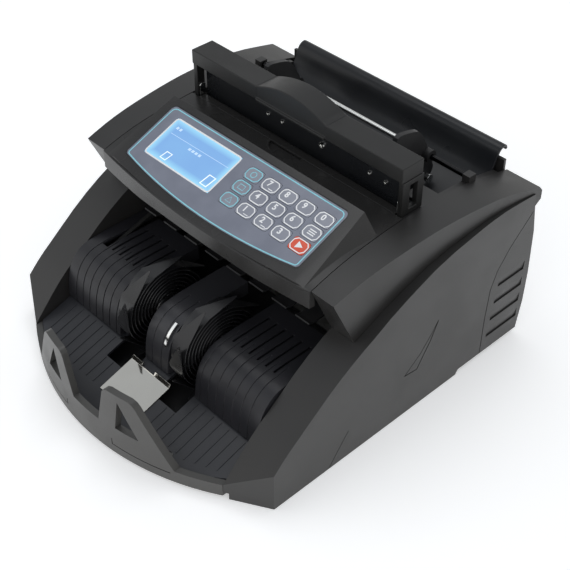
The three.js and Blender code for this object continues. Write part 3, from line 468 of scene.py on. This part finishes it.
def rectangle(across, along):
    """Corners of a rectangle from its two limits each way."""
    (a0, a1), (b0, b1) = across, along
    return [(a0, b0), (a1, b0), (a1, b1), (a0, b1)]


def circle(radius, centre, steps):
    return [(centre[0] + radius * math.cos(2 * math.pi * i / steps),
             centre[1] + radius * math.sin(2 * math.pi * i / steps)) for i in range(steps)]


class Parts:
    """Collects closed shapes in drawing millimetres and makes one piece of them."""

    def __init__(self):
        self.vertices = []
        self.faces = []

    def add(self, vertices, faces):
        start = len(self.vertices)
        self.vertices += vertices
        self.faces += [tuple(start + i for i in face) for face in faces]
        return self

    def piece(self, name, material, body="machine", bevel=0.0, smooth=True):
        piece = mesh_object(name, self.vertices, self.faces, material, body, smooth)
        if bevel:
            soften(piece, bevel)
        return piece


# ---------------------------------------------------------------- printed marks on the panel
def ribbon_faces(outline, width, height):
    """A closed flat line of ink: outer and inner loops at two heights, in panel millimetres."""
    count = len(outline)
    centre = Vector((sum(p[0] for p in outline) / count, sum(p[1] for p in outline) / count))
    loops = []
    for offset in (-width / 2, width / 2):
        loop = []
        for i, point in enumerate(outline):
            before = Vector(outline[i - 1])
            after = Vector(outline[(i + 1) % count])
            along = (after - before).normalized()
            normal = Vector((along.y, -along.x))
            if normal.dot(Vector(point) - centre) < 0:
                normal = -normal
            loop.append(Vector(point) + normal * offset)
        loops.append(loop)
    vertices = [(p.x, p.y, h) for h in (height, height - INK_DEPTH) for loop in loops for p in loop]
    faces = []
    for i in range(count):
        j = (i + 1) % count
        inner, outer = i, count + i
        faces.append((inner, j, count + j, outer))
        faces.append((outer, count + j, 3 * count + j, 3 * count + i))
        faces.append((j, inner, 2 * count + i, 2 * count + j))
    return vertices, faces


def patch_faces(outline, height):
    """A filled patch of ink, open underneath, in panel millimetres."""
    count = len(outline)
    vertices = [(a, b, h) for h in (height, height - INK_DEPTH) for a, b in outline]
    faces = [tuple(range(count))]
    faces += [(i, (i + 1) % count, count + (i + 1) % count, count + i) for i in range(count)]
    return vertices, faces


class Print(Parts):
    """Collects ink marks in panel millimetres and makes one piece of them."""

    def line(self, outline, width, height):
        return self.add(*ribbon_faces(outline, width, height))

    def patch(self, outline, height):
        return self.add(*patch_faces(outline, height))

    def text(self, body, size, centre, height):
        curve = bpy.data.curves.new("glyph", "FONT")
        curve.body = body
        curve.offset = 0.2
        curve.size = size
        curve.align_x = "CENTER"
        curve.align_y = "CENTER"
        curve.resolution_u = 4
        curve.extrude = GLYPH_HALF_DEPTH
        holder = bpy.data.objects.new("glyph", curve)
        bpy.context.scene.collection.objects.link(holder)
        mesh = bpy.data.meshes.new_from_object(holder.evaluated_get(bpy.context.evaluated_depsgraph_get()))
        vertices = [(v.co.x + centre[0], v.co.y + centre[1], v.co.z + height - GLYPH_HALF_DEPTH)
                    for v in mesh.vertices]
        faces = [tuple(p.vertices) for p in mesh.polygons]
        bpy.data.objects.remove(holder)
        return self.add(vertices, faces)

    def piece(self, name, material, body="machine"):
        mesh = bpy.data.meshes.new(name)
        place = panel_matrix()
        mesh.from_pydata([place @ (Vector(v) * MM) for v in self.vertices], [], self.faces)
        return finish_piece(name, mesh, material, body, smooth=False)


def key_outline(x, s):
    """Printed outline of a key: four slightly bowed sides and clipped corners."""
    (half_x, half_s), clip, bow = KEY_PRINT_HALF, KEY_PRINT_CLIP, KEY_PRINT_BOW
    sides = (
        ((half_x, -half_s + clip), (half_x, half_s - clip), (1, 0)),
        ((half_x - clip, half_s), (-half_x + clip, half_s), (0, 1)),
        ((-half_x, half_s - clip), (-half_x, -half_s + clip), (-1, 0)),
        ((-half_x + clip, -half_s), (half_x - clip, -half_s), (0, -1)),
    )
    outline = []
    steps = 6
    for (ax, ay), (bx, by), (nx, ny) in sides:
        for i in range(steps + 1):
            share = i / steps
            push = bow * math.sin(math.pi * share)
            outline.append((x + ax + (bx - ax) * share + nx * push, s + ay + (by - ay) * share + ny * push))
    return outline


def segment_zero(centre, width, height, lean=1.4):
    """Outline of a digital nought, leaning a little to the right."""
    x, s = centre
    corners = ((-1, -1), (1, -1), (1, 1), (-1, 1))
    return [(x + a * width / 2 + b * lean / 2, s + b * height / 2) for a, b in corners]


def function_symbol(marks, label, x, s):
    """Circle, square and triangle on the three function keys."""
    width = 0.6
    if label == "function_a":
        marks.line(circle(2.3, (x, s), 18), width, MARK)
    if label == "function_b":
        marks.line(rectangle((x - 2.6, x + 2.6), (s - 1.9, s + 1.9)), width, MARK)
    if label == "function_c":
        marks.line([(x - 2.6, s - 1.9), (x + 2.6, s - 1.9), (x, s + 2.4)], width, MARK)


def command_symbol(marks, label, x, s):
    """Three bars on the batch key and a solid triangle on the start key."""
    if label == "batch":
        for i in range(3):
            low = s - 2.1 + 1.7 * i
            marks.patch(rectangle((x - 3, x + 3), (low, low + 0.8)), MARK)
    if label == "start":
        marks.patch([(x - 2.2, s - 2.8), (x + 3.2, s), (x - 2.2, s + 2.8)], MARK)


def key_print(name, x, s, ink):
    marks = Print().line(key_outline(x, s), 0.8, MARK)
    label = name.removeprefix("key_")
    if label.isdigit():
        marks.text(label, DIGIT_SIZE, (x - 1.6, s + 0.8), MARK)
    if label in UNDERLINED_KEYS:
        marks.patch(rectangle((x + 0.2, x + 4.4), (s - 3.1, s - 2.5)), MARK)
    command_symbol(marks, label, x, s)
    function_symbol(marks, label, x, s)
    marks.piece(f"print_{name}", ink, name)


def key_prints():
    for s, names in zip(KEY_ROWS, KEYS):
        for x, name in zip(KEY_COLUMNS, names):
            key_print(name, x, s, "ink_cyan" if name.startswith("key_function") else "ink_white")


def membrane_border():
    """Closed line that follows the keypad's edge, bowed along the front."""
    half, rear, front = MEMBRANE["half"], MEMBRANE["rear"], MEMBRANE["front"]
    corner, nose = MEMBRANE["rear_corner"], MEMBRANE["front_corner"]
    outline = []
    for centre_x, sign in ((half - corner, 1), (-half + corner, -1)):
        for i in range(6):
            angle = math.pi / 2 * (i / 5 if sign > 0 else 1 + i / 5)
            outline.append((centre_x + corner * math.cos(angle), rear - corner + corner * math.sin(angle)))
    nose_turn = 1.25
    nose_s = front + 1.5
    for i in range(6):
        angle = math.pi + i / 5 * nose_turn
        outline.append((-half + nose + nose * math.cos(angle), nose_s + nose * math.sin(angle)))
    steps = 22
    for i in range(1, steps):
        x = -half + corner + (2 * half - 2 * corner) * i / steps
        outline.append((x, front - 0.7 - MEMBRANE["bow"] * (1 - (x / half) ** 2)))
    for i in range(6):
        angle = 2 * math.pi - nose_turn + i / 5 * nose_turn
        outline.append((half - nose + nose * math.cos(angle), nose_s + nose * math.sin(angle)))
    return outline


def leaning_marks(marks, first_x, pitch, count, width, span):
    """Row of small dashes on the display, leaning a little to the right like its digits."""
    lean = 0.3
    low, high = span
    for i in range(count):
        x = first_x + pitch * i
        marks.patch([(x, low), (x + width, low), (x + width + lean, high), (x + lean, high)], 0.0)


def panel_prints():
    Print().line(membrane_border(), 0.9, 0.06).piece("print_membrane_border", "ink_cyan")
    frame_line = rounded_box_outline((LCD["x"][0], LCD["s"][0]), (LCD["x"][1], LCD["s"][1]), 2.6)
    Print().line(frame_line, 1.2, 0.08).piece("print_lcd_frame", "ink_white")
    digits = Print()
    digits.line(segment_zero((-15.7, 16.0), 6.4, 9.0), 1.0, 0.0)
    digits.line(segment_zero((-60.2, 14.6), 5.6, 6.4), 0.85, 0.0)
    digits.piece("print_lcd_digits", "ink_lcd")
    marks = Print().patch([(-73, 31.3), (-11, 32.2), (-11, 32.5), (-73, 31.6)], 0.0)
    leaning_marks(marks, first_x=-50, pitch=3.6, count=4, width=2.4, span=(27.4, 29.4))
    leaning_marks(marks, first_x=-73, pitch=3.4, count=2, width=2.2, span=(36.2, 38.4))
    marks.piece("print_lcd_small_marks", "ink_lcd_dim")


# ---------------------------------------------------------------- impellers
def on_wheel(radius, angle):
    return WHEEL_AXIS[0] + radius * math.cos(angle), WHEEL_AXIS[1] + radius * math.sin(angle)


def blade_line(start):
    """Side view of one blade: a spiral out from the hub, then a straight tip that leaves it at a tangent."""
    root = HUB_RADIUS - 0.6
    steps = 40
    line = [on_wheel(root + (CURL_RADIUS - root) * i / steps, start - BLADE_SWEEP * i / steps)
            for i in range(steps + 1)]
    tip_turn = math.acos(CURL_RADIUS / WHEEL_RADIUS)
    y0, z0 = line[-1]
    y1, z1 = on_wheel(WHEEL_RADIUS, start - BLADE_SWEEP - tip_turn)
    tip_steps = 8
    line += [(y0 + (y1 - y0) * i / tip_steps, z0 + (z1 - z0) * i / tip_steps)
             for i in range(1, tip_steps + 1)]
    return line, tip_steps


def blade_mesh(start, inner_x, outer_x):
    """One curled finger whose straight tip is cut slantwise, leaving a point at outer_x."""
    line, tip_steps = blade_line(start)
    count = len(line)
    vertices, faces = [], []
    for i, (y, z) in enumerate(line):
        y0, z0 = line[max(i - 1, 0)]
        y1, z1 = line[min(i + 1, count - 1)]
        length = math.hypot(y1 - y0, z1 - z0)
        normal = ((z1 - z0) / length, -(y1 - y0) / length)
        cut = max(0.0, 1 - (count - 1 - i) / tip_steps) * TIP_CUT
        left = inner_x + (outer_x - inner_x) * cut
        thickness = BLADE_ROOT_THICKNESS - BLADE_TAPER * i / count
        for across in (left, outer_x):
            for side in (-0.5, 0.5):
                vertices.append((across, y + normal[0] * thickness * side, z + normal[1] * thickness * side))
    for i in range(count - 1):
        a, b = 4 * i, 4 * (i + 1)
        faces += [(a, b, b + 1, a + 1), (a + 1, b + 1, b + 3, a + 3), (a + 3, b + 3, b + 2, a + 2),
                  (a + 2, b + 2, b, a)]
    faces += [(0, 1, 3, 2), (4 * count - 4, 4 * count - 2, 4 * count - 1, 4 * count - 3)]
    return vertices, faces


def hub_mesh(inner_x, outer_x):
    """Turned hub with a stepped boss, as rings about the shaft."""
    boss_end, boss_root = BOSS_RADII
    end, face = 0.5, 1.6
    profile = ((inner_x + end, BORE_RADIUS), (inner_x + end, boss_end),
               (inner_x + face, boss_root), (inner_x + face, HUB_RADIUS),
               (outer_x - face, HUB_RADIUS), (outer_x - face, boss_root),
               (outer_x - end, boss_end), (outer_x - end, BORE_RADIUS))
    steps = 36
    vertices = [(x, *on_wheel(r, 2 * math.pi * i / steps)) for x, r in profile for i in range(steps)]
    count = len(profile)
    faces = [(ring * steps + i, ring * steps + (i + 1) % steps,
              (ring + 1) % count * steps + (i + 1) % steps, (ring + 1) % count * steps + i)
             for ring in range(count) for i in range(steps)]
    return vertices, faces


def impeller(side, name):
    """Both impellers point their blade tips to the machine's right."""
    low, high = WHEEL_X if side > 0 else (-WHEEL_X[1], -WHEEL_X[0])
    wheel = Parts().add(*hub_mesh(low, high))
    for i in range(BLADES):
        wheel.add(*blade_mesh(2 * math.pi * i / BLADES, low, high))
    piece = wheel.piece(f"blades_{name}", "blade", "impellers")
    soften(piece, 0.22, segments=1, angle=50)
    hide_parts(f"impeller_{name}")


# ---------------------------------------------------------------- small hardware and trim
def lathe(profile, centre, outward, steps=24):
    """Turned shape: (radius, distance along the outward axis) pairs, closed at both ends."""
    axis = Vector(outward).normalized()
    across = axis.orthogonal().normalized()
    up = axis.cross(across)
    vertices = []
    for radius, along in profile:
        for i in range(steps):
            angle = 2 * math.pi * i / steps
            vertices.append(Vector(centre) + axis * along
                            + (across * math.cos(angle) + up * math.sin(angle)) * radius)
    rings = len(profile)
    faces = [(ring * steps + i, ring * steps + (i + 1) % steps,
              (ring + 1) * steps + (i + 1) % steps, (ring + 1) * steps + i)
             for ring in range(rings - 1) for i in range(steps)]
    faces += [tuple(range(steps)), tuple((rings - 1) * steps + i for i in range(steps))]
    return vertices, faces


def screw_head(centre, outward, radius):
    """Pan head with a round recess sunk in its middle."""
    height = radius * 0.55
    profile = ((radius, -0.1), (radius, height * 0.45), (radius * 0.86, height * 0.85),
               (radius * 0.6, height), (radius * 0.38, height), (radius * 0.22, height * 0.35))
    return lathe(profile, centre, outward)


def loop_along_x(outline, grown, span):
    """Closed band round an outline of (y, z) points; grown is the same outline, larger."""
    count = len(outline)
    vertices = [(x, y, z) for x in span for ring in (outline, grown) for y, z in ring]
    faces = []
    for i in range(count):
        j = (i + 1) % count
        near_in, near_out, far_in, far_out = 0, count, 2 * count, 3 * count
        faces += [
            (near_in + i, near_in + j, near_out + j, near_out + i),
            (far_in + j, far_in + i, far_out + i, far_out + j),
            (near_out + i, near_out + j, far_out + j, far_out + i),
            (near_in + j, near_in + i, far_in + i, far_in + j),
        ]
    return vertices, faces


def hopper_screws():
    screws = Parts()
    for x, radius in ((-32, 1.7), (-17, 1.7), (24, 2.8), (70, 1.7), (85, 1.7)):
        screws.add(*screw_head((x, FRONT_PLATE_Y, 164.6), (0, -1, 0), radius))
    screws.piece("hopper_plate_screws", "chrome")


def rear_screws():
    screws = Parts()
    for x in (-102, 102):
        for z in (14, 138):
            screws.add(*screw_head((x, REAR_PANEL_Y, z), (0, 1, 0), 2.6))
    for x in (-36, -61):
        screws.add(*screw_head((x, REAR_PANEL_Y, 26.5), (0, 1, 0), 1.4))
    screws.piece("rear_panel_screws", "steel")


def base_screws():
    screws = Parts()
    for x in (-80, 80):
        for y in (-70, 40, 130):
            screws.add(*screw_head((x, y, 3.0), (0, 0, -1), 2.4))
    screws.piece("base_pan_screws", "steel")


def post_brackets():
    """Bright upright plates at the feet of the bar's posts, just clear of the clean-out flap's ends."""
    foot = DECK_TOP + 0.1
    outline = [(44.5, foot), (50, foot), (50, 160), (48.4, 161.6), (46, 161.6), (44.5, 160)]
    brackets = Parts()
    for low, high in ((101.7, 102.6), (-102.6, -101.7)):
        brackets.add(*prism(outline, (low, high), "X"))
    brackets.piece("post_brackets", "chrome", bevel=0.2)


def grip_seams():
    """Dark joints where the raised grip meets the bar."""
    (y0, y1), (z0, z1) = BAR["y"], BAR["z"]
    proud, chamfer, depth, half_width = 0.02, 1, 0.12, 0.3
    tight = [(y0 + chamfer, z0 - proud), (y1 - chamfer, z0 - proud),
             (y1 + proud, z0 + chamfer), (y1 + proud, z1 - chamfer),
             (y1 - chamfer, z1 + proud), (y0 + chamfer, z1 + proud),
             (y0 - proud, z1 - chamfer), (y0 - proud, z0 + chamfer)]
    mid_y, mid_z = (y0 + y1) / 2, (z0 + z1) / 2
    grown = [(y + math.copysign(depth, y - mid_y), z + math.copysign(depth, z - mid_z)) for y, z in tight]
    seams = Parts()
    for x in (-BAR["grip_half"], BAR["grip_half"]):
        seams.add(*loop_along_x(tight, grown, (x - half_width, x + half_width)))
    seams.piece("grip_seams", "inner", smooth=False)


def rating_plate():
    """Blank label on the back: a thin pale plate with nothing printed on it."""
    outline = rounded_box_outline((30, 112), (88, 138), 2)
    plate = prism_piece("rating_plate", outline, (REAR_PANEL_Y, REAR_PANEL_Y + 0.25), "Y", "label")


def guide_spring():
    """Bright leaf spring that stands on the front of the shroud, beside the right impeller."""
    line = [(-88.6, 49.5), (-87.6, 53), (-85.8, 56.5), (-83.2, 60), (-80, 62.8), (-76.5, 65.2)]
    back = [(y - 0.7, z + 0.6) for y, z in line]
    spring = Parts()
    spring.add(*prism(line + back[::-1], (8.2, 10.6), "X"))
    spring.piece("guide_spring", "chrome", bevel=0.1)


def floor_sensor():
    """Small round lens let into the stacker floor."""
    x, y = 62.0, -131.5
    z = FLOOR_REAR[1] + (y - FLOOR_REAR[0]) * FLOOR_SLOPE
    tilt = math.atan(FLOOR_SLOPE)
    up = (0, -math.sin(tilt), math.cos(tilt))
    profile = ((3.2, -0.2), (3.2, 0.45), (2.7, 0.6), (2.5, 0.25), (1.4, 0.5), (0.5, 0.62))
    Parts().add(*lathe(profile, (x, y, z), up)).piece("floor_sensor", "panel")


def membrane_frame():
    """Raised fine edge of the panel housing round the keypad."""
    middle, wider, longer = 25.5, 1.026, 1.075
    grown = [(a * wider, middle + (b - middle) * longer) for a, b in membrane_border()]
    Print().line(grown, 0.5, 0.12).piece("panel_edge_line", "panel")


# ---------------------------------------------------------------- camera, floor and light
def camera():
    data = bpy.data.cameras.new("camera")
    data.sensor_width = 36.0
    data.lens = CAMERA["lens"]
    data.clip_start, data.clip_end = 0.05, 20.0
    eye = bpy.data.objects.new("camera", data)
    eye.location = drawing(*CAMERA["eye"])
    eye.rotation_euler = (math.radians(CAMERA["tilt"]), 0.0, math.radians(CAMERA["turn"]))
    bpy.context.scene.collection.objects.link(eye)
    bpy.context.scene.camera = eye


def area_light(name, location, target, size, power, colour=(1, 1, 1)):
    """Soft rectangular lamp; place, target and size in metres, power in watts."""
    data = bpy.data.lights.new(name, "AREA")
    data.shape = "RECTANGLE"
    data.size, data.size_y = size
    data.energy = power
    data.color = colour
    lamp = bpy.data.objects.new(name, data)
    lamp.location = location
    lamp.rotation_euler = (Vector(target) - Vector(location)).to_track_quat("-Z", "Y").to_euler()
    bpy.context.scene.collection.objects.link(lamp)


def sky(name, horizon, zenith):
    """Soft studio surround, brighter towards the horizon than overhead, and cooler there."""
    world = bpy.data.worlds.new(name)
    bpy.context.scene.world = world
    world.use_nodes = True
    tree = world.node_tree
    direction = tree.nodes.new("ShaderNodeTexCoord")
    split = tree.nodes.new("ShaderNodeSeparateXYZ")
    ramp = tree.nodes.new("ShaderNodeMapRange")
    ramp.inputs["From Min"].default_value = 0.1
    ramp.inputs["From Max"].default_value = 0.9
    ramp.inputs["To Min"].default_value = horizon
    ramp.inputs["To Max"].default_value = zenith
    tint = tree.nodes.new("ShaderNodeMix")
    tint.data_type = "RGBA"
    tint.inputs["A"].default_value = (1.0, 0.985, 0.955, 1)
    tint.inputs["B"].default_value = (0.86, 0.92, 1.0, 1)
    background = tree.nodes["Background"]
    tree.links.new(direction.outputs["Generated"], split.inputs["Vector"])
    tree.links.new(split.outputs["Z"], ramp.inputs["Value"])
    tree.links.new(split.outputs["Z"], tint.inputs["Factor"])
    tree.links.new(tint.outputs["Result"], background.inputs["Color"])
    tree.links.new(ramp.outputs["Result"], background.inputs["Strength"])


def studio_floor():
    """Plain pale floor at the height of the machine's feet."""
    mesh = bpy.data.meshes.new("studio_floor")
    corners = rectangle((-STUDIO_HALF_WIDTH, STUDIO_HALF_WIDTH), (-STUDIO_HALF_WIDTH, STUDIO_HALF_WIDTH))
    mesh.from_pydata([(x, y, 0) for x, y in corners], [], [(0, 1, 2, 3)])
    n = Nodes("studio_floor")
    tint = n.blend(n.noise(3, detail=2), (0.90, 0.90, 0.90), (0.93, 0.93, 0.93))
    n.set(Base_Color=tint, Roughness=0.7, Emission_Color=(1, 1, 1, 1), Emission_Strength=0.38)
    mesh.materials.append(n.material)
    ground = bpy.data.objects.new("studio_floor", mesh)
    ground.location.z = cad_box[0].z
    bpy.context.scene.collection.objects.link(ground)


def studio():
    bpy.context.scene.view_settings.view_transform = "Standard"
    sky("studio", horizon=0.85, zenith=0.42)
    studio_floor()
    machine, machine_front = (0, 0, 0.1), (0, -0.05, 0.1)
    area_light("overhead", (-0.25, 0.2, 1.5), machine, size=(1.1, 1.0), power=5)
    area_light("front_fill", (0.9, -1.2, 0.9), machine, size=(1.0, 0.8), power=3.0)
    area_light("left_front", (-0.95, -1.0, 0.75), machine_front, size=(0.7, 0.9), power=0.8,
               colour=(0.96, 0.98, 1.0))


# ---------------------------------------------------------------- dressing the CAD nodes
def dress_nodes():
    for side in ("right", "left"):
        dress(f"side_shell_{side}", "shell", 1.8, angle=24, segments=3)
        dress(f"hood_side_{side}", "hood", 0.9, angle=30, segments=3)
        dress(f"handle_post_{side}", "handle", 0.6)
        dress(f"hopper_guide_{side}", "inner", 0.8)
        dress(f"guide_knob_{side}", "chrome", 0.5)
        dress(f"foot_front_{side}", "rubber", 0.6)
        dress(f"foot_rear_{side}", "rubber", 0.6)
        dress(f"guide_cover_{side}", "ribbed", 0.5)
    # The front rim takes the lighter rim colour, which is painted light on its front-facing band.
    dress("front_rim", "rim", 0.9, angle=40, segments=3)
    dress("stacker_floor", "floor", 0.2)
    dress("wear_plate", "mirror", 0.12)
    dress("impeller_shroud", "shroud", 0.7)
    dress("panel_housing", "panel", 0.9, angle=26, segments=3)
    dress("keypad_membrane", "membrane", 0.12)
    dress("lcd_window", "lcd")
    for names in KEYS:
        for name in names:
            dress(name, "key_red" if name == "key_start" else "key", 0.2)
    dress("clean_out_flap", "panel", 0.3)
    dress("handle_bar", "handle", 1.4, angle=30, segments=4)
    dress("hopper_front_plate", "tray", 0.5)
    dress("rear_tray", "tray", 0.5, angle=50)
    dress("guide_rod", "rod", 0.3)
    dress("base_pan", "inner", 0.5)
    dress("rear_panel", "shell", 0.5)
    dress("mains_inlet", "rubber", 0.4)
    dress("power_rocker", "panel", 0.4)
    dress("display_socket", "rubber", 0.4)
    dress("exit_guide", "inner", 0.4)
    dress("chassis", "steel", 0.2)
    dress("main_motor", "steel", 0.6)
    dress("transformer", "core", 0.6)
    for name in ("impeller_shaft", "feed_shaft", "motor_pulley"):
        dress(name, "steel", 0.2)
    dress("feed_roller", "roller", 0.6)
    for name in ("motor_belt", "impeller_belt"):
        dress(name, "rubber")


camera()
studio()
dress_nodes()
impeller(1, "right")
impeller(-1, "left")
key_prints()
panel_prints()
membrane_frame()
hopper_screws()
rear_screws()
base_screws()
post_brackets()
grip_seams()
rating_plate()
guide_spring()
floor_sensor()
